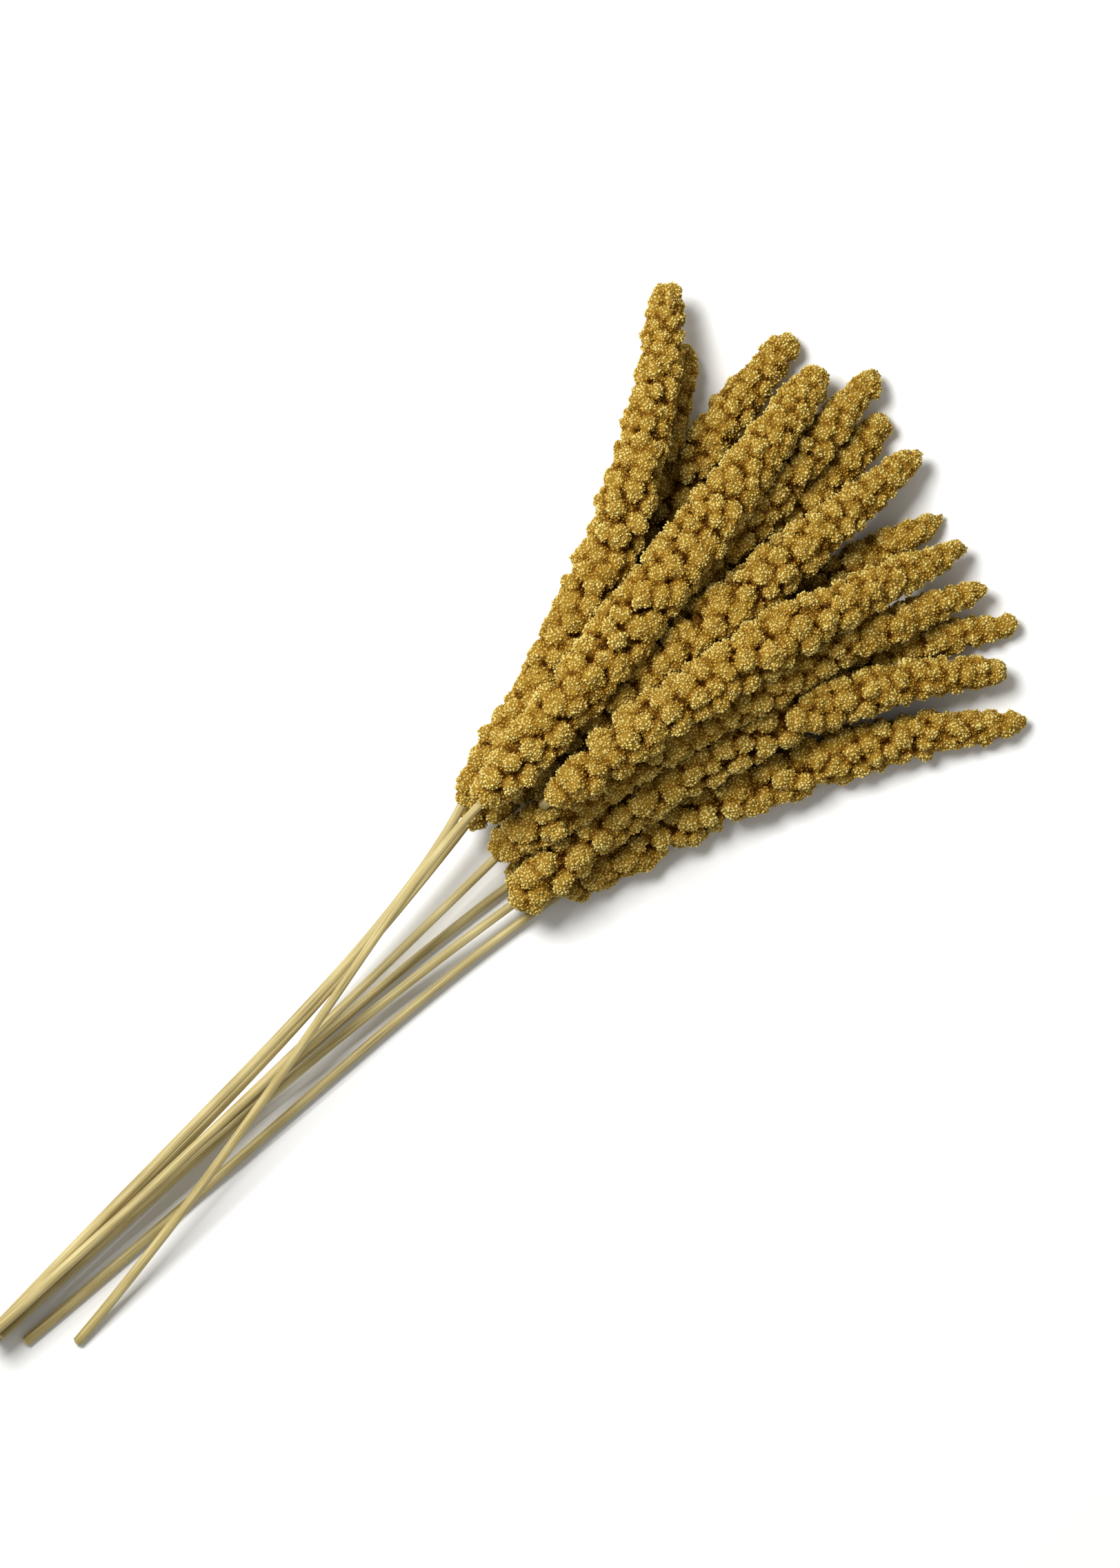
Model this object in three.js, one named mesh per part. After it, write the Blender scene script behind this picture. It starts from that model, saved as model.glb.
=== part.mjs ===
// A loose bunch of dried foxtail millet lying on a flat surface: thirteen seed heads,
// each on its own straw stem.
// Millimetres and degrees. +X runs along the bunch from the cut ends to the tips, +Y to its left, +Z up.
import * as THREE from "three";
import { mergeVertices } from "three/addons/utils/BufferGeometryUtils.js";

// Seed heads
const headDiameter = 18.5; // at the thickest place, between the lobes
const neckDiameter = 12.5; // where the head starts around its stem
const swellLength = 90; // from the neck to the thickest place
const tipTaper = 2.2; // above 1 the head stays thick and narrows late
const neckRounding = 5;
const tipRounding = 6;
const neckRings = [0.12, 0.5]; // where the rounded base has its rings, as shares of neckRounding
const tipRing = 0.4; // and the rounded tip, as a share of tipRounding
const lobeHeight = 0.9; // how far a seed cluster stands out of the head
const lobeSpacing = 11; // from one row of clusters to the next, along the head
const lobesAround = 5;

// Stems
const stemTopDiameter = 3.8; // where it enters the head
const stemCutDiameter = 4.6; // at the cut end
const cutHandle = 0.5; // share of its reach over which a stem holds its direction from the cut end
const neckHandle = 0.22; // and from the head
const stemStep = 12; // length of one straight facet
const stemSides = 8;

// Fits
const seatDepth = 9; // how far a stem reaches into its head
const seatClearance = 0.3;
const seatWall = 0.5; // least thickness of the head around its seat
const restClearance = 1.2; // left between pieces that lie on each other
const headStiffness = 0.3; // 0 is limp over what it lies on, 1 is a straight rod

// Each spray, from left to right across the bunch. base is where the head starts, heading is its
// direction there and bend is how much it turns up to the tip. girth scales the head's thickness,
// and tip is its diameter just before the rounded tip. The stem leaves the head along lean, and
// reaches its cut end at cut along the direction end.
const sprays = [
  { base: [309.5, 26], length: 238, heading: 6.8, bend: 35.5, girth: 1.0, tip: 13,
    lean: 20, cut: [-5, 0.5], end: 2.6 },
  { base: [385, 48], length: 136, heading: 15, bend: 13, girth: 0.95, tip: 9,
    lean: 18, cut: [314, 25], end: 14 },
  { base: [345, 29.5], length: 206, heading: 16, bend: -9, girth: 1.1, tip: 11,
    lean: 16, cut: [308, 20], end: 14 },
  { base: [314, 18.5], length: 233, heading: 6, bend: 4, girth: 1.1, tip: 13,
    lean: 1, cut: [18.7, -28.3], end: 6 },
  { base: [372, 25], length: 190, heading: 0, bend: 5, girth: 0.9, tip: 9.5,
    lean: 0, cut: [318, 17], end: -2 },
  { base: [352, 8], length: 199, heading: 1, bend: 3, girth: 1.05, tip: 11.5,
    lean: -2, cut: [316, 9], end: -2 },
  { base: [303, 17], length: 248, heading: -5.3, bend: 1, girth: 1.1, tip: 10,
    lean: 8, cut: [-6, 1], end: -1 },
  { base: [365, -4], length: 174, heading: -3.2, bend: -11, girth: 0.95, tip: 9,
    lean: 4, cut: [314, -5], end: 2 },
  { base: [336, -1.5], length: 205, heading: -4.5, bend: -16.5, girth: 1.0, tip: 9,
    lean: 2, cut: [328, -1], end: -1 },
  { base: [303, -3], length: 238, heading: -6, bend: -19, girth: 0.98, tip: 7.5,
    lean: 0, cut: [-8, 0.5], end: -2 },
  { base: [296, -16], length: 249, heading: 1.8, bend: -37.2, girth: 0.95, tip: 8.5,
    lean: -7, cut: [-6, -2.5], end: 0 },
  { base: [293, -23.5], length: 238, heading: 3.5, bend: -44.5, girth: 1.04, tip: 10.5,
    lean: -8, cut: [-3, -3], end: -1 },
  { base: [311, -35.2], length: 212, heading: -6.8, bend: -34.2, girth: 1.0, tip: 9,
    lean: -12, cut: [2.5, -12.5], end: -4 },
];

// The order in which the sprays were laid down, lowest first, counted from the left.
const layingOrder = [13, 11, 8, 6, 3, 5, 2, 12, 7, 1, 10, 4, 9];

const headColour = 0xb08a35;
const stemColour = 0xbcaa70;

const headSides = 2 * lobesAround;
const routeStep = 6; // spacing of the points that a spray is laid through
const curveParts = 8; // finer steps between two of those points
const leastParts = 3; // a short stem still has this many
const up = new THREE.Vector3(0, 0, 1);

const direction = (degrees) => new THREE.Vector2(1, 0).rotateAround(
  new THREE.Vector2(), THREE.MathUtils.degToRad(degrees));

// Radius of a head between its clusters, at a distance from its base.
function headRadius(spray, distance) {
  const scale = spray.girth / 2;
  const fromTip = spray.length - distance;
  let diameter;
  if (distance < swellLength) {
    const rise = Math.sin((Math.PI / 2) * Math.max(distance, 0) / swellLength);
    diameter = neckDiameter + (headDiameter - neckDiameter) * rise;
  } else {
    const along = (distance - swellLength) / (spray.length - swellLength);
    diameter = headDiameter - (headDiameter - spray.tip / spray.girth) * along ** tipTaper;
  }
  return scale * diameter * rounding(distance, neckRounding) * rounding(fromTip, tipRounding);
}

// 1 along a piece, falling to 0 in a quarter ellipse over its last stretch.
function rounding(distance, stretch) {
  const short = Math.min(1, Math.max(0, 1 - distance / stretch));
  return Math.sqrt(1 - short * short);
}

const stemRadius = (share) => (stemCutDiameter + (stemTopDiameter - stemCutDiameter) * share) / 2;

// The plan of a spray: points from the cut end to the tip, each with the radius that it needs around it.
function planRoute(spray) {
  const base = new THREE.Vector2(...spray.base);
  const cut = new THREE.Vector2(...spray.cut);
  const reach = base.distanceTo(cut);
  const stem = new THREE.CubicBezierCurve(
    cut,
    cut.clone().addScaledVector(direction(spray.end), cutHandle * reach),
    base.clone().addScaledVector(direction(spray.lean), -neckHandle * reach),
    base,
  );
  const stemParts = Math.max(leastParts, Math.round(reach / routeStep));
  const route = stem.getSpacedPoints(stemParts).map((at, i) => (
    { at, radius: stemRadius(i / stemParts) }));
  const headParts = Math.round(spray.length / routeStep);
  const step = spray.length / headParts;
  const at = base.clone();
  for (let i = 1; i <= headParts; i++) {
    at.addScaledVector(direction(spray.heading + spray.bend * (i - 0.5) / headParts), step);
    const distance = Math.min(i * step, spray.length - tipRing * tipRounding);
    route.push({ at: at.clone(), radius: headRadius(spray, distance) + lobeHeight });
  }
  return { points: route, base: stemParts };
}

// The lowest height at which a round piece of this radius clears the surface and all that lies there.
function supportHeight(at, radius, laid) {
  let height = radius;
  for (const [a, b] of laid) {
    const along = b.at.clone().sub(a.at);
    const share = THREE.MathUtils.clamp(at.clone().sub(a.at).dot(along) / along.lengthSq(), 0, 1);
    const apart = at.distanceTo(a.at.clone().addScaledVector(along, share));
    const contact = radius + THREE.MathUtils.lerp(a.radius, b.radius, share) + restClearance;
    if (apart < contact) {
      const level = THREE.MathUtils.lerp(a.height, b.height, share);
      height = Math.max(height, level + Math.sqrt(contact ** 2 - apart ** 2));
    }
  }
  return height;
}

// The corners of a taut line pressed down over supports at these heights.
function tautCorners(heights) {
  const corners = [0];
  for (let i = 1; i < heights.length; i++) {
    while (corners.length > 1) {
      const [a, b] = corners.slice(-2);
      if ((heights[b] - heights[a]) * (i - a) > (heights[i] - heights[a]) * (b - a)) break;
      corners.pop();
    }
    corners.push(i);
  }
  return corners;
}

const heightOn = (heights, a, b, i) => heights[a] + (heights[b] - heights[a]) * (i - a) / (b - a);

// Heights of that line, and of the straight rod that balances on the two supports around its middle.
function tautHeights(heights) {
  const corners = tautCorners(heights);
  return heights.map((_, i) => {
    const next = Math.max(1, corners.findIndex((corner) => corner >= i));
    return heightOn(heights, corners[next - 1], corners[next], i);
  });
}

function rodHeights(heights) {
  const corners = tautCorners(heights);
  const next = Math.max(1, corners.findIndex((corner) => corner >= (heights.length - 1) / 2));
  return heights.map((_, i) => heightOn(heights, corners[next - 1], corners[next], i));
}

// Lays one spray on what is already there, and gives the curve that it follows in space.
function layDown(spray, laid) {
  const { points, base } = planRoute(spray);
  const needed = points.map(({ at, radius }) => supportHeight(at, radius, laid));
  const limp = tautHeights(needed.slice(base));
  const rod = rodHeights(needed.slice(base));
  const head = limp.map((height, i) => THREE.MathUtils.lerp(height, rod[i], headStiffness));
  const stem = tautHeights([...needed.slice(0, base), head[0]]);
  const heights = [...stem.slice(0, base), ...head];
  points.forEach((point, i) => {
    point.height = heights[i];
  });
  for (let i = 1; i < points.length; i++) laid.push([points[i - 1], points[i]]);
  const curve = new THREE.CatmullRomCurve3(
    points.map(({ at, height }) => new THREE.Vector3(at.x, at.y, height)));
  curve.arcLengthDivisions = curveParts * (points.length - 1);
  return { curve, stemLength: curve.getLengths()[curveParts * base] };
}

// Turns a closed profile of (radius, distance) into a solid of revolution whose axis follows the curve.
function revolveAlong(curve, profile, sides, swell = () => 0) {
  const lathe = new THREE.LatheGeometry(profile, sides);
  lathe.deleteAttribute("normal");
  lathe.deleteAttribute("uv");
  const geometry = mergeVertices(lathe, 1e-4);
  const position = geometry.getAttribute("position");
  const vertex = new THREE.Vector3();
  for (let i = 0; i < position.count; i++) {
    vertex.fromBufferAttribute(position, i);
    const share = THREE.MathUtils.clamp(vertex.y / curve.getLength(), 0, 1);
    const along = curve.getTangentAt(share);
    const side = along.clone().cross(up).normalize();
    const over = side.clone().cross(along);
    const radius = Math.hypot(vertex.x, vertex.z);
    const grown = radius > 0 ? 1 + swell(vertex.y, Math.atan2(vertex.z, vertex.x), radius) / radius : 1;
    const place = curve.getPointAt(share)
      .addScaledVector(side, vertex.x * grown)
      .addScaledVector(over, vertex.z * grown);
    position.setXYZ(i, place.x, place.y, place.z);
  }
  geometry.computeVertexNormals();
  return geometry;
}

// A head, with a blind seat for its stem, from the base of the head to the tip of the curve.
function headGeometry(spray, { curve, stemLength }) {
  const length = curve.getLength() - stemLength;
  const shape = { ...spray, length };
  const seatRadius = stemTopDiameter / 2 + seatClearance;
  const rows = Math.round(length / lobeSpacing);
  const profile = [
    new THREE.Vector2(0, stemLength + seatDepth + seatClearance),
    new THREE.Vector2(seatRadius, stemLength + seatDepth + seatClearance),
    new THREE.Vector2(seatRadius, stemLength),
  ];
  const stations = neckRings.map((share) => share * neckRounding);
  for (let row = 1; row < rows; row++) stations.push(row * length / rows);
  stations.push(length - tipRing * tipRounding);
  stations.forEach((distance) => {
    const radius = distance < seatDepth ? Math.max(headRadius(shape, distance), seatRadius + seatWall)
      : headRadius(shape, distance);
    profile.push(new THREE.Vector2(radius, stemLength + distance));
  });
  profile.push(new THREE.Vector2(0, stemLength + length));
  // Clusters stand in rows, each row turned by half a cluster from the last.
  const cluster = (distance, angle, radius) => {
    const row = Math.round((distance - stemLength) * rows / length);
    if (radius <= seatRadius + seatClearance || row < 1 || row >= rows) return 0;
    return lobeHeight * Math.cos(lobesAround * angle + Math.PI * row);
  };
  return revolveAlong(curve, profile, headSides, cluster);
}

// A stem, from its cut end into the seat of its head.
function stemGeometry({ curve, stemLength }) {
  const parts = Math.max(leastParts, Math.round(stemLength / stemStep));
  const profile = [new THREE.Vector2(0, 0)];
  for (let i = 0; i <= parts; i++) {
    profile.push(new THREE.Vector2(stemRadius(i / parts), i * stemLength / parts));
  }
  profile.push(new THREE.Vector2(stemTopDiameter / 2, stemLength + seatDepth));
  profile.push(new THREE.Vector2(0, stemLength + seatDepth));
  return revolveAlong(curve, profile, stemSides);
}

const bunch = new THREE.Group();
const headFinish = new THREE.MeshStandardMaterial({ color: headColour, roughness: 0.85, metalness: 0 });
const stemFinish = new THREE.MeshStandardMaterial({ color: stemColour, roughness: 0.55, metalness: 0 });

const laid = [];
for (const number of layingOrder) {
  const spray = sprays[number - 1];
  const lay = layDown(spray, laid);
  const label = String(number).padStart(2, "0");
  const head = new THREE.Mesh(headGeometry(spray, lay), headFinish);
  head.name = `head_${label}`;
  const stem = new THREE.Mesh(stemGeometry(lay), stemFinish);
  stem.name = `stem_${label}`;
  bunch.add(head, stem);
}

// The origin is on the surface, under the middle of the bunch.
const box = new THREE.Box3().setFromObject(bunch, true);
const middle = box.getCenter(new THREE.Vector3());
bunch.position.set(-middle.x, -middle.y, -box.min.z);

export default bunch;
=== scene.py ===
import bpy
import bmesh
import math
import random
from mathutils import Matrix, Vector, kdtree, noise


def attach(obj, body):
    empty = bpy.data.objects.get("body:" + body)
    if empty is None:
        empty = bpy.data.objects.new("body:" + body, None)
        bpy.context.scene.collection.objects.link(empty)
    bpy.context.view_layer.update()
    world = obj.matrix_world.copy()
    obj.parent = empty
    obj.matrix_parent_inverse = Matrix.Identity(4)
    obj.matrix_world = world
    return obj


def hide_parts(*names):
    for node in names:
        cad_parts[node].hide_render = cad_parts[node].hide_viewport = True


# A loose bunch of dried foxtail millet, lying on a pale table. Metres.
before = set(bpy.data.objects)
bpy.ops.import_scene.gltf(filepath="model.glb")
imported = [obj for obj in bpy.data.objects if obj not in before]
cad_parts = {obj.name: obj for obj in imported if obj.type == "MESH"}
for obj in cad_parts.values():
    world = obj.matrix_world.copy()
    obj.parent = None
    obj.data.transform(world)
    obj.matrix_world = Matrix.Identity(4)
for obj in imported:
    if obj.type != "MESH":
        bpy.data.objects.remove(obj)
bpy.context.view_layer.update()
headNames = sorted(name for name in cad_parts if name.startswith("head"))
stemNames = sorted(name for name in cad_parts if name.startswith("stem"))
upward = Vector((0, 0, 1))
print("frame loaded:", len(headNames), "heads,", len(stemNames), "stems")


# sRGB hex to the linear colour that the shader wants
def colour(hexText):
    parts = [int(hexText[i:i + 2], 16) / 255 for i in (1, 3, 5)]
    return (*[c / 12.92 if c <= 0.04045 else ((c + 0.055) / 1.055) ** 2.4 for c in parts], 1)


# One node with its settings. An input is a constant or another node's socket.
def addNode(tree, kind, inputs=None, **settings):
    node = tree.nodes.new(kind)
    for name, value in settings.items():
        setattr(node, name, value)
    for key, value in (inputs or {}).items():
        if isinstance(value, bpy.types.NodeSocket):
            tree.links.new(value, node.inputs[key])
        else:
            node.inputs[key].default_value = value
    return node


def newMaterial(name):
    material = bpy.data.materials.new(name)
    material.use_nodes = True
    return material, material.node_tree, material.node_tree.nodes["Principled BSDF"]


huskLook = {
    "crest": "#e1d282",     # painted highlight on the crests, and the palest seeds
    "body": "#ba9334",
    "creviceShade": "#4a2505",   # painted shade in the hollows between the clusters
    "stops": (0.24, 0.52, 0.84),    # where the hollow shade, body and crest highlight stand on the ramp
    "spread": 0.6,          # brings height (which paints shade and highlight), tint and mottle together onto the ramp
    "tintShare": 0.22,      # how far one seed differs from the next
    "mottleShare": 0.5,
    "mottle": 0.0012,       # patches on the husks, a seed or less across
    "wrinkle": 0.0004,
    "wrinkleDepth": 0.0002,
    "wrinkleStrength": 0.5,
    "roughness": 0.75,
    "glint": 0.12,          # far below a smooth plastic's 0.5
}

# Dried millet husks: thin papery shells, matt, with hardly a glint on each seed. Their colour carries
# painted shade in the hollows and a painted highlight on the crests.
def makeHusk():
    material, tree, shader = newMaterial("driedMilletHusk")
    rise = addNode(tree, "ShaderNodeAttribute", attribute_name="rise")
    tint = addNode(tree, "ShaderNodeAttribute", attribute_name="tint")
    place = addNode(tree, "ShaderNodeTexCoord")
    mottle = addNode(tree, "ShaderNodeTexNoise", {
        "Vector": place.outputs["Object"], "Scale": 1 / huskLook["mottle"], "Detail": 3.0})
    tinted = addNode(tree, "ShaderNodeMath", {
        0: tint.outputs["Fac"], 1: huskLook["tintShare"], 2: rise.outputs["Fac"]},
        operation="MULTIPLY_ADD")
    spotted = addNode(tree, "ShaderNodeMath", {
        0: mottle.outputs["Fac"], 1: huskLook["mottleShare"], 2: tinted.outputs[0]},
        operation="MULTIPLY_ADD")
    fitted = addNode(tree, "ShaderNodeMath", {
        0: spotted.outputs[0], 1: huskLook["spread"]}, operation="MULTIPLY")
    # painted shade and highlight: a low rise darkens a spot towards the hollow shade, a high one lightens
    # it towards the crest highlight
    ramp = addNode(tree, "ShaderNodeValToRGB", {"Fac": fitted.outputs[0]})
    low, half, high = huskLook["stops"]
    ramp.color_ramp.elements[0].position = low
    ramp.color_ramp.elements[0].color = colour(huskLook["creviceShade"])
    ramp.color_ramp.elements[1].position = high
    ramp.color_ramp.elements[1].color = colour(huskLook["crest"])
    ramp.color_ramp.elements.new(half).color = colour(huskLook["body"])
    tree.links.new(ramp.outputs["Color"], shader.inputs["Base Color"])
    wrinkle = addNode(tree, "ShaderNodeTexNoise", {
        "Vector": place.outputs["Object"], "Scale": 1 / huskLook["wrinkle"], "Detail": 2.0})
    bump = addNode(tree, "ShaderNodeBump", {
        "Strength": huskLook["wrinkleStrength"], "Distance": huskLook["wrinkleDepth"],
        "Height": wrinkle.outputs["Fac"]})
    tree.links.new(bump.outputs["Normal"], shader.inputs["Normal"])
    shader.inputs["Roughness"].default_value = huskLook["roughness"]
    shader.inputs["Specular IOR Level"].default_value = huskLook["glint"]
    return material


chaffLook = {
    # deep is painted shade down in the hollows; middle and shallow are the chaff's own browns
    "deep": "#341803",
    "middle": "#694613",
    "shallow": "#8e6e27",
    "stops": (0.3, 0.6, 0.95),      # where deep (painted shade), middle and shallow stand on the ramp
    "fibresPerMetre": 900.0,
    "fibreShare": 0.4,
    "roughness": 0.9,
}

# Chaff and short stalks packed between the seeds: dull, dusty brown, with painted shade making it darker
# down in the crevices.
def makeChaff():
    material, tree, shader = newMaterial("chaffBetweenSeeds")
    rise = addNode(tree, "ShaderNodeAttribute", attribute_name="rise")
    place = addNode(tree, "ShaderNodeTexCoord")
    fibres = addNode(tree, "ShaderNodeTexNoise", {
        "Vector": place.outputs["Object"], "Scale": chaffLook["fibresPerMetre"], "Detail": 3.0})
    mixed = addNode(tree, "ShaderNodeMath", {
        0: fibres.outputs["Fac"], 1: chaffLook["fibreShare"], 2: rise.outputs["Fac"]},
        operation="MULTIPLY_ADD")
    # painted shade: the lower the rise, the darker the chaff
    ramp = addNode(tree, "ShaderNodeValToRGB", {"Fac": mixed.outputs[0]})
    low, half, high = chaffLook["stops"]
    ramp.color_ramp.elements[0].position = low
    ramp.color_ramp.elements[0].color = colour(chaffLook["deep"])
    ramp.color_ramp.elements[1].position = high
    ramp.color_ramp.elements[1].color = colour(chaffLook["shallow"])
    ramp.color_ramp.elements.new(half).color = colour(chaffLook["middle"])
    tree.links.new(ramp.outputs["Color"], shader.inputs["Base Color"])
    shader.inputs["Roughness"].default_value = chaffLook["roughness"]
    shader.inputs["Specular IOR Level"].default_value = 0.0
    return material


strawLook = {
    "light": "#c9bb84",
    "body": "#ab985d",
    "streak": "#75653a",
    "stops": (0.5, 0.7, 0.98),      # where streak, body and light stand on the ramp
    "fibre": 0.0005,        # width of one lengthwise streak
    "fibreEnds": 28.0,      # how many times a streak changes in a metre
    "blotch": 0.035,        # length of a paler or browner stretch
    "blotchShare": 0.5,
    "ridge": 0.00015,
    "ridgeStrength": 0.6,
    "roughness": 0.5,
}

# Dried straw: waxy smooth skin over lengthwise fibres, so a soft gloss runs along it.
def makeStraw():
    material, tree, shader = newMaterial("driedStraw")
    along = addNode(tree, "ShaderNodeUVMap", uv_map="straw")   # metres round the stem, metres along it
    stretched = addNode(tree, "ShaderNodeMapping", {
        "Vector": along.outputs["UV"], "Scale": (1 / strawLook["fibre"], strawLook["fibreEnds"], 1.0)})
    fibres = addNode(tree, "ShaderNodeTexNoise", {
        "Vector": stretched.outputs["Vector"], "Scale": 1.0, "Detail": 3.0, "Roughness": 0.6})
    patches = addNode(tree, "ShaderNodeTexNoise", {
        "Vector": along.outputs["UV"], "Scale": 1 / strawLook["blotch"], "Detail": 2.0})
    mixed = addNode(tree, "ShaderNodeMath", {
        0: patches.outputs["Fac"], 1: strawLook["blotchShare"], 2: fibres.outputs["Fac"]},
        operation="MULTIPLY_ADD")
    ramp = addNode(tree, "ShaderNodeValToRGB", {"Fac": mixed.outputs[0]})
    low, half, high = strawLook["stops"]
    ramp.color_ramp.elements[0].position = low
    ramp.color_ramp.elements[0].color = colour(strawLook["streak"])
    ramp.color_ramp.elements[1].position = high
    ramp.color_ramp.elements[1].color = colour(strawLook["light"])
    ramp.color_ramp.elements.new(half).color = colour(strawLook["body"])
    tree.links.new(ramp.outputs["Color"], shader.inputs["Base Color"])
    bump = addNode(tree, "ShaderNodeBump", {
        "Strength": strawLook["ridgeStrength"], "Distance": strawLook["ridge"],
        "Height": fibres.outputs["Fac"]})
    tree.links.new(bump.outputs["Normal"], shader.inputs["Normal"])
    shader.inputs["Roughness"].default_value = strawLook["roughness"]
    return material


pithLook = {"cell": "#9c8a5c", "cellWall": "#e2d6ae", "cellsPerMetre": 2500.0, "roughness": 0.9}

# Pith at a cut end: a spongy cream that catches no light.
def makePith():
    material, tree, shader = newMaterial("strawPith")
    place = addNode(tree, "ShaderNodeTexCoord")
    sponge = addNode(tree, "ShaderNodeTexVoronoi", {
        "Vector": place.outputs["Object"], "Scale": pithLook["cellsPerMetre"]})
    ramp = addNode(tree, "ShaderNodeValToRGB", {"Fac": sponge.outputs["Distance"]})
    ramp.color_ramp.elements[0].color = colour(pithLook["cell"])
    ramp.color_ramp.elements[1].color = colour(pithLook["cellWall"])
    tree.links.new(ramp.outputs["Color"], shader.inputs["Base Color"])
    shader.inputs["Roughness"].default_value = pithLook["roughness"]
    return material


husk, chaff, straw, pith = makeHusk(), makeChaff(), makeStraw(), makePith()
print("materials made")


packedLook = {
    "merge": 0.00002,       # loose triangles closer than this become one surface
    "poleEdges": 8,         # only the two poles join this many edges
    "step": 0.002,          # spacing of the points along a middle line
}

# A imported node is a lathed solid, so its rings are found by stepping outward from one pole.
def ringsOf(name, poleEnd):
    bm = bmesh.new()
    bm.from_mesh(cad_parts[name].data)
    bmesh.ops.remove_doubles(bm, verts=bm.verts, dist=packedLook["merge"])
    bm.verts.index_update()
    poles = [v for v in bm.verts if len(v.link_edges) >= packedLook["poleEdges"]]
    ring = [max(poles, key=lambda v: v.co.x * poleEnd)]
    seen, rings = set(ring), []
    while ring:
        centre = sum((v.co for v in ring), Vector()) / len(ring)
        rings.append(Vector((*centre, sum((v.co - centre).length for v in ring) / len(ring))))
        beyond = {e.other_vert(v) for v in ring for e in v.link_edges} - seen
        ring = sorted(beyond, key=lambda v: v.index)
        seen.update(ring)
    bm.free()
    return rings


# Smooth points about a step apart through the rings' middles. The fourth number is the radius.
def smoothLine(rings, step):
    line = []
    for i in range(len(rings) - 1):
        a, b, c, d = (rings[max(0, min(len(rings) - 1, i + k))] for k in (-1, 0, 1, 2))
        parts = max(1, round((c - b).xyz.length / step))
        for part in range(parts):
            t = part / parts
            line.append(0.5 * (2 * b + (c - a) * t + (2 * a - 5 * b + 4 * c - d) * t ** 2
                               + (3 * b - a - 3 * c + d) * t ** 3))
    line.append(rings[-1].copy())
    return line


# Directions at a point of a line: along it, level across it, and up from both.
def axesAt(line, i):
    along = (line[min(i + 1, len(line) - 1)].xyz - line[max(i - 1, 0)].xyz).normalized()
    side = along.cross(upward).normalized()
    return along, side, side.cross(along)


# Finds the nearest point of a line.
def finderFor(points):
    finder = kdtree.KDTree(len(points))
    for i, point in enumerate(points):
        finder.insert(point.xyz, i)
    finder.balance()
    return finder


# Heads run from base to tip, without their seat's three rings, and stems from the cut, without poles.
lines = {name: smoothLine(ringsOf(name, 1)[:-3][::-1], packedLook["step"]) for name in headNames}
lines.update({name: smoothLine(ringsOf(name, -1)[1:-1], packedLook["step"]) for name in stemNames})
print("middle lines found")


def newObject(name, bm):
    mesh = bpy.data.meshes.new(name)
    bm.to_mesh(mesh)
    bm.free()
    piece = bpy.data.objects.new(name, mesh)
    bpy.context.scene.collection.objects.link(piece)
    return piece


# Replaces a piece's mesh by what its modifiers make of it.
def applyModifiers(piece):
    bpy.context.view_layer.update()
    finished = bpy.data.meshes.new_from_object(piece.evaluated_get(bpy.context.evaluated_depsgraph_get()))
    piece.modifiers.clear()
    piece.data = finished
    piece.data.name = piece.name


seedLook = {"length": 0.0016, "width": 0.0013, "sides": 5, "waist": -0.12}

# A small pointed grain, widest a little below its middle, with its own small patch of the map.
def makeSeed():
    bm = bmesh.new()
    bmesh.ops.create_uvsphere(bm, u_segments=seedLook["sides"], v_segments=2, radius=0.5)
    waist = [v for v in bm.verts if abs(v.co.z) < 0.1]   # the one ring between the poles
    bmesh.ops.translate(bm, verts=waist, vec=(0, 0, seedLook["waist"]))
    layer = bm.loops.layers.uv.new("OFBake")
    for face in bm.faces:
        face.smooth = True
        for loop in face.loops:
            loop[layer].uv = (loop.vert.co.x + 0.5, loop.vert.co.z + 0.5)
    bmesh.ops.scale(bm, verts=bm.verts, vec=(seedLook["width"], seedLook["width"], seedLook["length"]))
    seed = newObject("seed", bm)
    seed.data.materials.append(husk)
    return seed


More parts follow.
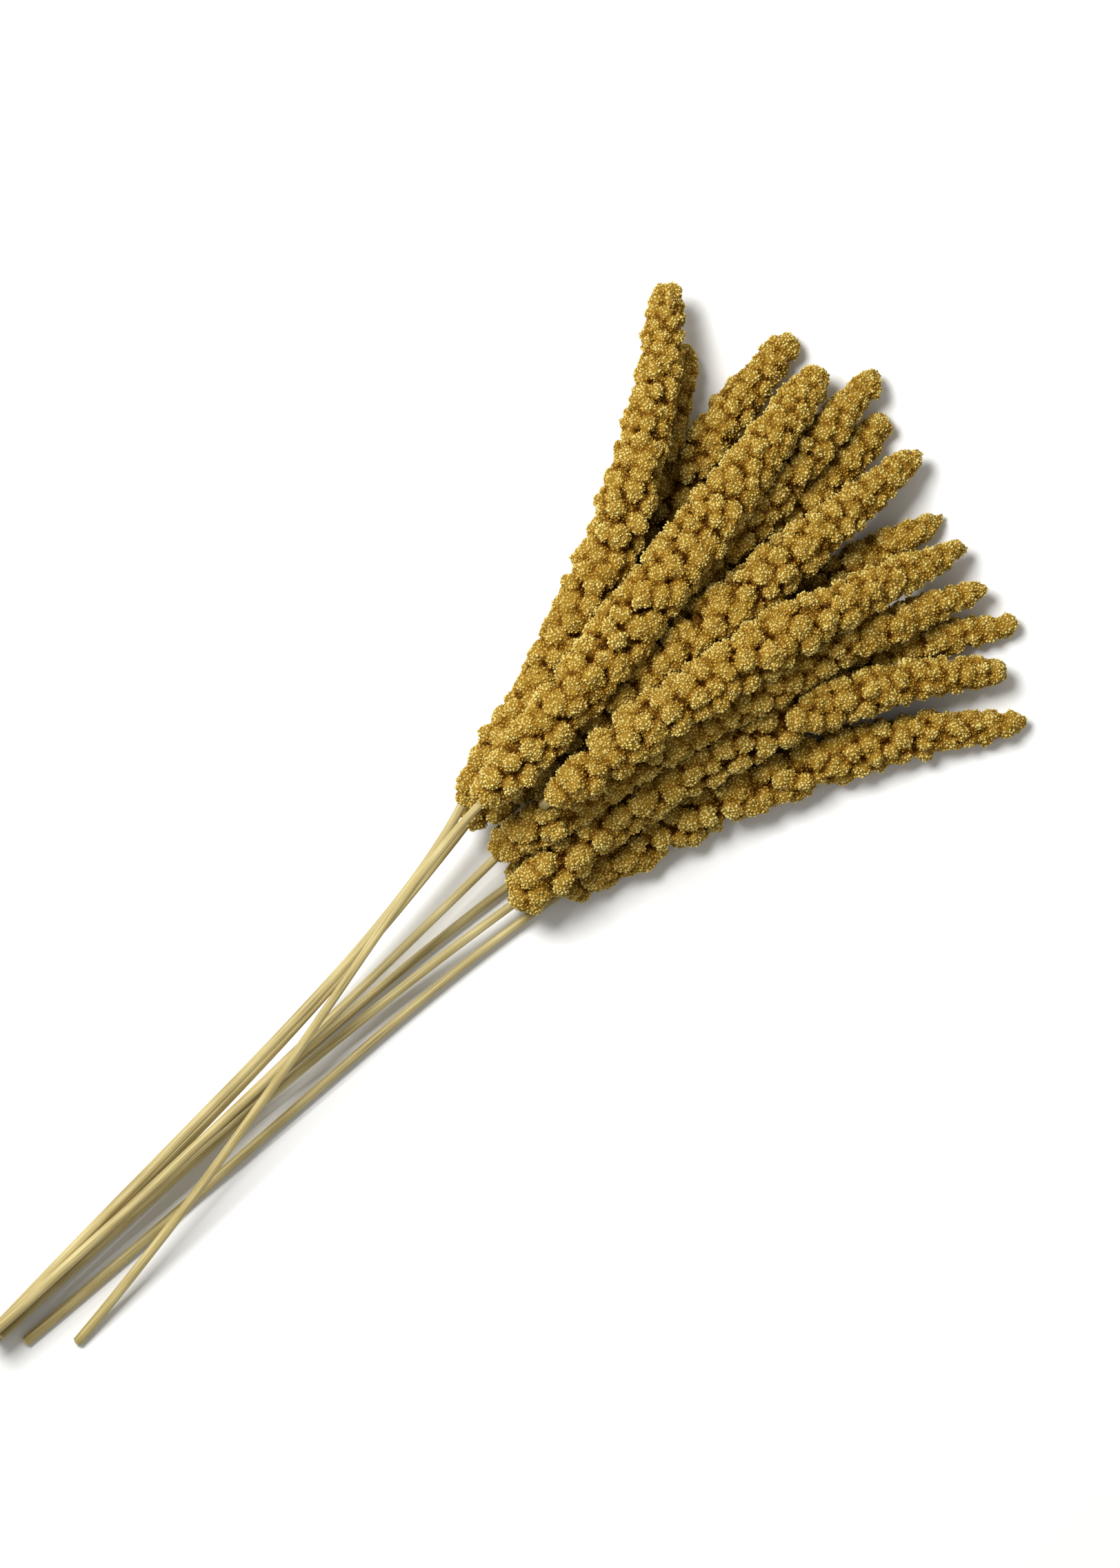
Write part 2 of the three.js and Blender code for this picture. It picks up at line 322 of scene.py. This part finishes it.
headLook = {
    "crown": 0.0049,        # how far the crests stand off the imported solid
    "crownAtBase": 0.0029,
    "crownAtTip": 0.0018,
    "baseShare": 0.12,      # share of the length over which the crown grows at the base
    "taperFrom": 0.5,       # share of the length at which clusters start to shrink to the tip
    "taperPower": 1.5,
    "thinEnd": 0.003,       # the crown shrinks where the solid's radius is under this
    "leastCore": 0.0004,
    "cover": 0.0006,        # thickness of the seeds on a cluster's skin
    "pitch": 0.0112,        # from one cluster to the next, near the base and middle
    "pitchAtTip": 0.0062,
    "relief": 0.0054,       # depth of the crevices between clusters
    "reliefAtTip": 0.0012,
    "firstRow": 0.001,
    "rowShare": 0.82,       # row spacing, in pitches
    "rowStray": 0.34,       # how far a cluster strays along and round its row, in spacings
    "roundStray": 0.25,
    "width": (0.8, 1.26),   # least and most, in pitches
    "widerAtTip": 0.1,
    "length": (0.95, 1.35),         # in widths
    "depth": (0.8, 1.0),
    "crest": (-0.32, 0.12),         # in reliefs, from where the crests should be
    "lean": 24,             # degrees that a cluster leans to the tip
    "leanRange": (0.2, 1.5),
    "voxel": 0.001,
    "knobs": 0.0046,        # size of the small knobs that a cluster is made of
    "knobHeight": 0.0017,
    "finer": 2.1,           # a second, smaller set of knobs and its share of the height
    "finerShare": 0.6,
    "softening": 20,        # smoothing passes that tell a crest from a hollow
    "hollow": 0.0009,       # how deep a hollow is when its painted shade is darkest and it bears no seeds
    "tableGap": 0.0018,     # the underside is pressed flat this far above the table
    "seedSpacing": 0.00106,
    "seedsTried": 3.2e6,    # for each square metre, before those too close are dropped
    "bareBelow": 0.25,      # hollows lower than this carry ever fewer seeds
    "seedStray": 0.0004,    # how far a seed may sit off its even spot
    "seedLean": 0.6,        # to the tip, against straight out
    "seedTilt": 0.9,        # at random, in every direction
    "smallestSeed": (0.5, 0.5, 0.55),
    "largestSeed": (1.45, 1.45, 1.15),
    "mapColumns": 128,      # the bake map holds this many seeds in a row
    "mapMargin": 0.15,      # empty share at each side of a seed's cell
    "skinBand": 0.2,        # share of the bake map that the skin takes
    "skinMargin": 0.02,
    "skinTurn": 0.6,        # share of that band for one whole turn, so a seam has room
}


# Where the seeds' crests and the crevices' floor are, the cluster spacing, and how near the tip it is.
def sizesAt(line, i):
    share = i / (len(line) - 1)
    fall = max(0, (share - headLook["taperFrom"]) / (1 - headLook["taperFrom"])) ** headLook["taperPower"]
    start = min(1, share / headLook["baseShare"])
    crown = headLook["crownAtBase"] + (headLook["crown"] - headLook["crownAtBase"]) * start
    crown += (headLook["crownAtTip"] - headLook["crown"]) * fall
    crest = line[i].w + crown * min(1, line[i].w / headLook["thinEnd"]) - headLook["cover"]
    relief = headLook["relief"] + (headLook["reliefAtTip"] - headLook["relief"]) * fall
    pitch = headLook["pitch"] + (headLook["pitchAtTip"] - headLook["pitch"]) * fall
    return crest, max(headLook["leastCore"], crest - relief), pitch, fall


# A string of balls for the core, with rows of clusters round it, each row turned from the last.
def layClusters(bm, line, dice):
    step = packedLook["step"]
    length = step * (len(line) - 1)
    for i in range(0, len(line), 2):
        _, inner, _, _ = sizesAt(line, i)
        bmesh.ops.create_icosphere(bm, subdivisions=2, radius=inner,
                                   matrix=Matrix.Translation(line[i].xyz))
    distance, turn = headLook["firstRow"], dice.uniform(0, math.tau)
    while distance < length:
        outer, inner, pitch, fall = sizesAt(line, min(len(line) - 1, round(distance / step)))
        around = max(4, round(math.tau * (0.4 * inner + 0.6 * outer) / pitch))
        for k in range(around):
            stray = dice.uniform(-headLook["rowStray"], headLook["rowStray"])
            spot = distance + stray * headLook["rowShare"] * pitch
            i = max(0, min(len(line) - 1, round(spot / step)))
            outer, inner, _, _ = sizesAt(line, i)
            along, side, over = axesAt(line, i)
            aside = dice.uniform(-headLook["roundStray"], headLook["roundStray"])
            angle = turn + (k + aside) * math.tau / around
            outward = side * math.cos(angle) + over * math.sin(angle)
            wide = pitch * dice.uniform(*headLook["width"]) * (1 + headLook["widerAtTip"] * fall)
            wide -= 2 * headLook["cover"]
            long = wide * dice.uniform(*headLook["length"])
            deep = min(wide, 2 * outer) * dice.uniform(*headLook["depth"])
            lean = math.radians(headLook["lean"] * dice.uniform(*headLook["leanRange"]))
            raised = (outward * math.cos(lean) + along * math.sin(lean)).normalized()
            across = along.cross(outward).normalized()
            ahead = across.cross(raised).normalized()
            crest = outer + dice.uniform(*headLook["crest"]) * (outer - inner)
            middle = line[i].xyz + outward * (crest - 0.5 * deep)
            turned = Matrix((ahead, across, raised)).transposed().to_4x4()
            shape = Matrix.Diagonal((long / 2, wide / 2, deep / 2, 1))
            bmesh.ops.create_icosphere(bm, subdivisions=2, radius=1,
                                       matrix=Matrix.Translation(middle) @ turned @ shape)
        distance += headLook["rowShare"] * pitch
        turn += math.pi / around + dice.uniform(-headLook["roundStray"], headLook["roundStray"])


# How far each point of the skin stands above its smoothed surroundings: 0 in a hollow, 1 on a crest. The
# colours paint shade in the hollows and a highlight on the crests from it.
def standsOut(mesh):
    bm = bmesh.new()
    bm.from_mesh(mesh)
    for _ in range(headLook["softening"]):
        bmesh.ops.smooth_vert(bm, verts=bm.verts, factor=0.5,
                              use_axis_x=True, use_axis_y=True, use_axis_z=True)
    stands = [(vert.co - soft.co).dot(vert.normal) for vert, soft in zip(mesh.vertices, bm.verts)]
    bm.free()
    return [max(0, min(1, 0.5 + 0.5 * height / headLook["hollow"])) for height in stands]


# Small lumps along the normal, in two sizes.
def knobAt(vert):
    coarse = noise.noise(vert.co / headLook["knobs"])
    fine = noise.noise(vert.co * headLook["finer"] / headLook["knobs"])
    return vert.co + vert.normal * ((coarse + headLook["finerShare"] * fine) * headLook["knobHeight"])


# Where sprays lie on each other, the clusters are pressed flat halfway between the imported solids.
def pressedBack(spot, line, finder, others, othersFinder):
    _, i, reach = finder.find(spot)
    middle, k, othersReach = othersFinder.find(spot)
    past = (reach - line[i].w) - (othersReach - others[k].w) + 2 * headLook["cover"]
    return spot + (spot - middle).normalized() * (0.5 * past) if past > 0 else spot


# The clusters' common skin: knobbly, pressed flat on the table, and marked with what the seeds and the
# painted shade need.
def finishSkin(piece, name):
    mesh, line, step = piece.data, lines[name], packedLook["step"]
    finder = finderFor(line)
    others = [point for other in lines if other[-2:] != name[-2:] for point in lines[other]]
    othersFinder = finderFor(others)
    rise = standsOut(mesh)
    moved = []
    for vert in mesh.vertices:
        spot = pressedBack(knobAt(vert), line, finder, others, othersFinder)
        moved.extend((spot.x, spot.y, max(spot.z, headLook["tableGap"])))
    mesh.vertices.foreach_set("co", moved)
    mesh.update()
    tipward, around, ahead = [], [], []
    for vert in mesh.vertices:
        _, i, _ = finder.find(vert.co)
        along, side, over = axesAt(line, i)
        off = vert.co - line[i].xyz
        tipward.extend(along)
        around.append(math.atan2(off.dot(over), off.dot(side)) / math.tau + 0.5)
        ahead.append((i * step + off.dot(along)) / (step * (len(line) - 1)))
    # rise sets where seeds grow and drives the painted shade and highlight
    mesh.attributes.new("rise", "FLOAT", "POINT").data.foreach_set("value", rise)
    mesh.attributes.new("tipward", "FLOAT_VECTOR", "POINT").data.foreach_set("vector", tipward)
    layer = mesh.uv_layers.new(name="OFBake")
    margin = headLook["skinMargin"]
    for face in mesh.polygons:
        turns = [around[v] for v in face.vertices]
        for loop, v in zip(face.loop_indices, face.vertices):
            wrapped = around[v] + (1 if max(turns) - around[v] > 0.5 else 0)
            layer.data[loop].uv = (margin + (1 - 2 * margin) * min(1, max(0, ahead[v])),
                                   headLook["skinBand"] * (margin + headLook["skinTurn"] * wrapped))
    mesh.shade_smooth()


# Geometry nodes that stand a seed at each of many evenly scattered spots on the skin.
def makeSeedCover(seed):
    tree = bpy.data.node_groups.new("seedCover", "GeometryNodeTree")
    tree.interface.new_socket("Geometry", in_out="INPUT", socket_type="NodeSocketGeometry")
    tree.interface.new_socket("Geometry", in_out="OUTPUT", socket_type="NodeSocketGeometry")
    skin = addNode(tree, "NodeGroupInput").outputs[0]
    rise = addNode(tree, "GeometryNodeInputNamedAttribute", {"Name": "rise"}, data_type="FLOAT")
    seeded = addNode(tree, "ShaderNodeMath", {
        0: rise.outputs["Attribute"], 1: 1 / headLook["bareBelow"]}, operation="MULTIPLY", use_clamp=True)
    spots = addNode(tree, "GeometryNodeDistributePointsOnFaces", {
        "Mesh": skin, "Distance Min": headLook["seedSpacing"], "Density Max": headLook["seedsTried"],
        "Density Factor": seeded.outputs[0]}, distribute_method="POISSON")
    strayBy = headLook["seedStray"]
    stray = addNode(tree, "FunctionNodeRandomValue", {
        0: (-strayBy,) * 3, 1: (strayBy,) * 3, "Seed": 9}, data_type="FLOAT_VECTOR")
    strewn = addNode(tree, "GeometryNodeSetPosition", {
        "Geometry": spots.outputs["Points"], "Offset": stray.outputs[0]})

    # a seed points outward and a little to the tip, then tilts at random
    tipward = addNode(tree, "GeometryNodeInputNamedAttribute", {"Name": "tipward"},
                      data_type="FLOAT_VECTOR")
    leaning = addNode(tree, "ShaderNodeVectorMath", {
        0: tipward.outputs["Attribute"], 1: (headLook["seedLean"],) * 3, 2: spots.outputs["Normal"]},
        operation="MULTIPLY_ADD")
    tiltBy = headLook["seedTilt"]
    tilt = addNode(tree, "FunctionNodeRandomValue", {
        0: (-tiltBy,) * 3, 1: (tiltBy,) * 3, "Seed": 3}, data_type="FLOAT_VECTOR")
    aim = addNode(tree, "ShaderNodeVectorMath", {
        0: leaning.outputs[0], 1: tilt.outputs[0]}, operation="ADD")
    turned = addNode(tree, "FunctionNodeAlignRotationToVector", {"Vector": aim.outputs[0]}, axis="Z")
    size = addNode(tree, "FunctionNodeRandomValue", {
        0: headLook["smallestSeed"], 1: headLook["largestSeed"], "Seed": 5}, data_type="FLOAT_VECTOR")
    grain = addNode(tree, "GeometryNodeObjectInfo", {"Object": seed})
    seeds = addNode(tree, "GeometryNodeInstanceOnPoints", {
        "Points": strewn.outputs[0], "Instance": grain.outputs["Geometry"],
        "Rotation": turned.outputs[0], "Scale": size.outputs[0]})
    shade = addNode(tree, "FunctionNodeRandomValue", {2: 0.0, 3: 1.0, "Seed": 7}, data_type="FLOAT")
    tinted = addNode(tree, "GeometryNodeStoreNamedAttribute", {
        "Geometry": seeds.outputs[0], "Name": "tint", "Value": shade.outputs[1]},
        data_type="FLOAT", domain="INSTANCE")
    number = addNode(tree, "GeometryNodeInputIndex")
    numbered = addNode(tree, "GeometryNodeStoreNamedAttribute", {
        "Geometry": tinted.outputs[0], "Name": "number", "Value": number.outputs[0]},
        data_type="FLOAT", domain="INSTANCE")
    real = addNode(tree, "GeometryNodeRealizeInstances", {0: numbered.outputs[0]})

    # each seed's own patch moves to its own cell of the bake map
    columns, margin, band = headLook["mapColumns"], headLook["mapMargin"], headLook["skinBand"]
    cell = addNode(tree, "GeometryNodeInputNamedAttribute", {"Name": "number"}, data_type="FLOAT")
    column = addNode(tree, "ShaderNodeMath", {
        0: cell.outputs["Attribute"], 1: columns}, operation="FLOORED_MODULO")
    row = addNode(tree, "ShaderNodeMath", {0: cell.outputs["Attribute"], 1: columns}, operation="DIVIDE")
    wholeRow = addNode(tree, "ShaderNodeMath", {0: row.outputs[0]}, operation="FLOOR")
    corner = addNode(tree, "ShaderNodeCombineXYZ", {0: column.outputs[0], 1: wholeRow.outputs[0]})
    own = addNode(tree, "GeometryNodeInputNamedAttribute", {"Name": "OFBake"}, data_type="FLOAT_VECTOR")
    shrunk = addNode(tree, "ShaderNodeVectorMath", {
        0: own.outputs["Attribute"], 1: (1 - 2 * margin, 1 - 2 * margin, 0), 2: (margin, margin, 0)},
        operation="MULTIPLY_ADD")
    placed = addNode(tree, "ShaderNodeVectorMath", {
        0: shrunk.outputs[0], 1: corner.outputs[0]}, operation="ADD")
    fitted = addNode(tree, "ShaderNodeVectorMath", {
        0: placed.outputs[0], 1: (1 / columns, (1 - band) / columns, 0), 2: (0, band, 0)},
        operation="MULTIPLY_ADD")
    mapped = addNode(tree, "GeometryNodeStoreNamedAttribute", {
        "Geometry": real.outputs[0], "Name": "OFBake", "Value": fitted.outputs[0]},
        data_type="FLOAT2", domain="CORNER")
    both = addNode(tree, "GeometryNodeJoinGeometry")
    tree.links.new(mapped.outputs[0], both.inputs[0])
    tree.links.new(skin, both.inputs[0])
    addNode(tree, "NodeGroupOutput", {0: both.outputs[0]})
    return tree


def makeHead(name, cover):
    bm = bmesh.new()
    layClusters(bm, lines[name], random.Random(name))
    piece = newObject("millet_" + name, bm)
    remesh = piece.modifiers.new("oneSkin", "REMESH")
    remesh.mode = "VOXEL"
    remesh.voxel_size = headLook["voxel"]
    applyModifiers(piece)
    finishSkin(piece, name)
    piece.data.materials.append(chaff)
    seeds = piece.modifiers.new("seeds", "NODES")
    seeds.node_group = cover
    applyModifiers(piece)
    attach(piece, "root")
    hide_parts(name)
    return piece


seed = makeSeed()
seedCover = makeSeedCover(seed)
total = 0
for name in headNames:
    head = makeHead(name, seedCover)
    count = sum(len(face.vertices) - 2 for face in head.data.polygons)
    total += count
    print(head.name, count, "triangles")
bpy.data.objects.remove(seed)
print("heads done,", total, "triangles")


stemLook = {
    "sides": 20,
    "ribs": 0.03,           # unevenness of the sides, in radii
    "oval": 0.05,           # how far the section is from round, in radii
    "ovalTurn": 9,          # radians that the oval turns in a metre
    "step": 0.006,
    "tableGap": 0.0001,
    "girth": 0.0135,        # round the stem on its map, in metres
    "rim": 0.0006,          # width of the straw wall at the cut, then of the slope into the pith
    "rimDepth": 0.0002,
    "slope": 0.0007,
    "slopeDepth": 0.0008,
}


# A ring of edges drawn out along the middle line, ring by ring, then closed with a cut end.
def makeStem(name):
    dice = random.Random(name)
    line = smoothLine(ringsOf(name, -1)[1:-1], stemLook["step"])
    sides = stemLook["sides"]
    ribs = [1 + stemLook["ribs"] * dice.uniform(-1, 1) for _ in range(sides)]
    phase = dice.uniform(0, math.tau)
    bm = bmesh.new()
    layer = bm.loops.layers.uv.new("straw")
    ring = bmesh.ops.create_circle(bm, segments=sides, radius=1)["verts"]
    ring.sort(key=lambda v: math.atan2(v.co.y, v.co.x))
    distance, marks = 0.0, {}
    for i, point in enumerate(line):
        if i:
            touching = dict.fromkeys(edge for vert in ring for edge in vert.link_edges)
            edges = [edge for edge in touching if all(vert in ring for vert in edge.verts)]
            grown = {}
            for vert in bmesh.ops.extrude_edge_only(bm, edges=edges)["geom"]:
                if isinstance(vert, bmesh.types.BMVert):
                    below = next(e.other_vert(vert) for e in vert.link_edges if e.other_vert(vert) in ring)
                    grown[below] = vert
            ring = [grown[vert] for vert in ring]
            distance += (point.xyz - line[i - 1].xyz).length
        _, side, over = axesAt(line, i)
        for k, vert in enumerate(ring):
            angle = math.tau * k / sides
            oval = 1 + stemLook["oval"] * math.cos(2 * angle + phase + stemLook["ovalTurn"] * distance)
            reach = point.w * ribs[k] * oval
            vert.co = point.xyz + side * (reach * math.cos(angle)) + over * (reach * math.sin(angle))
            vert.co.z = max(vert.co.z, stemLook["tableGap"])
            marks[vert] = (k, distance)
    for face in bm.faces:
        face.smooth = True
        turns = [marks[vert][0] for vert in face.verts]
        for loop in face.loops:
            k, place = marks[loop.vert]
            k += sides if max(turns) - k > sides / 2 else 0
            loop[layer].uv = (k / sides * stemLook["girth"], place)
    rims = [edge for edge in bm.edges if edge.is_boundary]
    for cap in bmesh.ops.edgeloop_fill(bm, edges=rims, mat_nr=1)["faces"]:
        bmesh.ops.inset_region(bm, faces=[cap], thickness=stemLook["rim"], depth=-stemLook["rimDepth"])
        bmesh.ops.inset_region(bm, faces=[cap], thickness=stemLook["slope"], depth=-stemLook["slopeDepth"])
    bmesh.ops.recalc_face_normals(bm, faces=bm.faces)
    piece = newObject("straw_" + name, bm)
    piece.data.materials.append(straw)
    piece.data.materials.append(pith)
    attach(piece, "root")
    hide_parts(name)


for name in stemNames:
    makeStem(name)
print("stems done")


stageLook = {
    "table": "#f2f2f0",
    "tableRoughness": 0.9,
    "size": 6.0,
    "world": "#ffffff",
    "worldStrength": 0.34,
}


def makeTable():
    bm = bmesh.new()
    bmesh.ops.create_grid(bm, x_segments=1, y_segments=1, size=stageLook["size"] / 2)
    table = newObject("table", bm)
    material, tree, shader = newMaterial("paleTable")
    shader.inputs["Base Color"].default_value = colour(stageLook["table"])
    shader.inputs["Roughness"].default_value = stageLook["tableRoughness"]
    table.data.materials.append(material)


def lightTheWorld():
    world = bpy.data.worlds.new("studio")
    bpy.context.scene.world = world
    world.use_nodes = True
    background = world.node_tree.nodes["Background"]
    background.inputs["Color"].default_value = colour(stageLook["world"])
    background.inputs["Strength"].default_value = stageLook["worldStrength"]


windowLook = {"place": (0.05, 1.15, 1.9), "aim": (0.05, 0, 0), "size": 0.9, "watts": 64}


# One large soft light from the upper left.
def addWindow():
    light = bpy.data.lights.new("window", "AREA")
    light.shape = "SQUARE"
    light.size = windowLook["size"]
    light.energy = windowLook["watts"]
    lamp = bpy.data.objects.new("window", light)
    lamp.location = windowLook["place"]
    direction = Vector(windowLook["aim"]) - Vector(windowLook["place"])
    lamp.rotation_euler = direction.to_track_quat("-Z", "Y").to_euler()
    bpy.context.scene.collection.objects.link(lamp)


cameraLook = {
    "roll": -44,                    # degrees: the bunch runs from lower left to upper right
    "middle": (0.0627, -0.0018),
    "distance": 5.0,
    "aimHeight": 0.02,              # the plane in which "tall" is measured
    "tall": 0.6822,                 # how much the picture's height shows
    "sensor": 36,                   # millimetres
    "farLimit": 50,
}


def addCamera():
    camera = bpy.data.cameras.new("camera")
    camera.sensor_fit = "AUTO"
    camera.sensor_width = cameraLook["sensor"]
    camera.lens = cameraLook["sensor"] * cameraLook["distance"] / cameraLook["tall"]
    camera.clip_end = cameraLook["farLimit"]
    view = bpy.data.objects.new("camera", camera)
    view.location = (*cameraLook["middle"], cameraLook["distance"] + cameraLook["aimHeight"])
    view.rotation_euler = (0, 0, math.radians(cameraLook["roll"]))
    bpy.context.scene.collection.objects.link(view)
    bpy.context.scene.camera = view


bpy.context.scene.view_settings.view_transform = "Standard"
makeTable()
lightTheWorld()
addWindow()
addCamera()
print("stage done")
